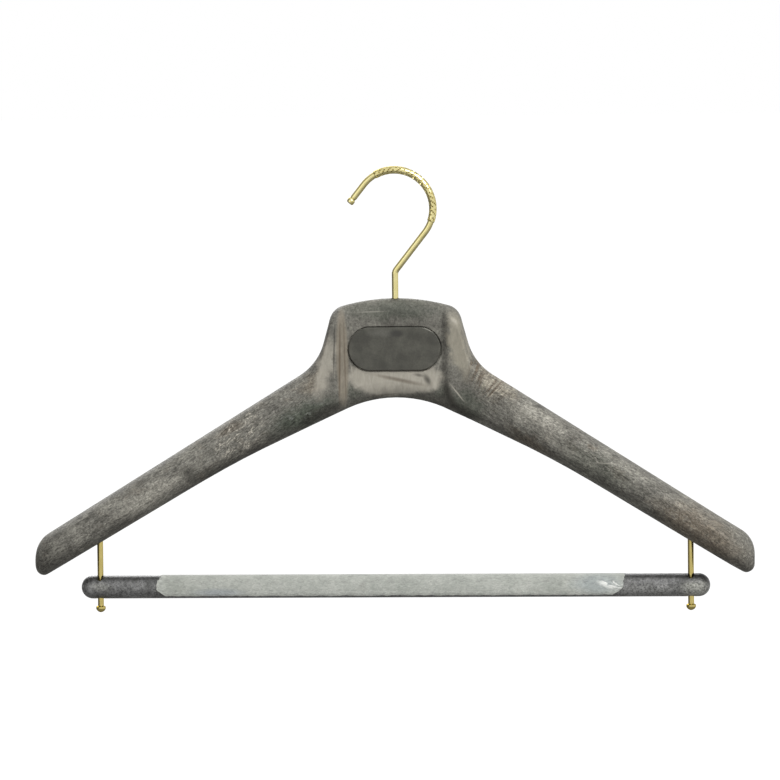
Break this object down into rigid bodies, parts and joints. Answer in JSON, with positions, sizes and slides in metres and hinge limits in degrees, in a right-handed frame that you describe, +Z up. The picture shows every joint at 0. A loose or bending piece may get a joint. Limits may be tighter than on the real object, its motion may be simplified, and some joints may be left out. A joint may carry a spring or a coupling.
{
  "type": "suit hanger with trouser bar",
  "caption": "Contoured garment hanger: hollow body with forward-swept arms, swivelling wire hook, and a flocked trouser bar that slides on headed pins.",
  "frame": {"origin": "the rail's seat: the lowest point inside the hook's crown, on the hook's swivel axis", "axes": "+Z up along the hook's swivel axis, +X to the right along the hanger's width with the hook's mouth towards -X, -Y towards the badge side, into which the arms sweep"},
  "size_m": [0.4528, 0.0686, 0.2794],
  "materials": {
    "polished_brass_wire": "polished, with a rolled pattern round the crown",
    "washer_nylon": "plain",
    "brass_bush": "turned",
    "marbled_plastic": "satin, marbled grey",
    "badge_plastic": "matt dark grey",
    "polished_brass_pins": "polished",
    "brass_inserts": "knurled",
    "bar_plastic": "satin, speckled dark grey",
    "flock_coat": "fine pale grey flock"
  },
  "bodies": {
    "hook": {"hook": "polished_brass_wire", "hook_washer": "washer_nylon"},
    "hanger": {"front_shell": "marbled_plastic", "rear_shell": "marbled_plastic", "hook_bush": "brass_bush", "badge": "badge_plastic", "left_pin": "polished_brass_pins", "right_pin": "polished_brass_pins", "left_pin_insert": "brass_inserts", "right_pin_insert": "brass_inserts"},
    "trouser_bar": {"bar_front_half": "bar_plastic", "bar_rear_half": "bar_plastic", "bar_grip_coat": "flock_coat"}
  },
  "joints": [
    {"name": "hook_swivel", "type": "hinge", "parent": "hook", "child": "hanger", "pos_m": [0, 0, -0.09069], "axis": [0, 0, 1], "continuous": true},
    {"name": "bar_slide", "type": "slide", "parent": "hanger", "child": "trouser_bar", "axis": [0, 0, 1], "range_m": [-0.0046, 0.0159]}
  ]
}
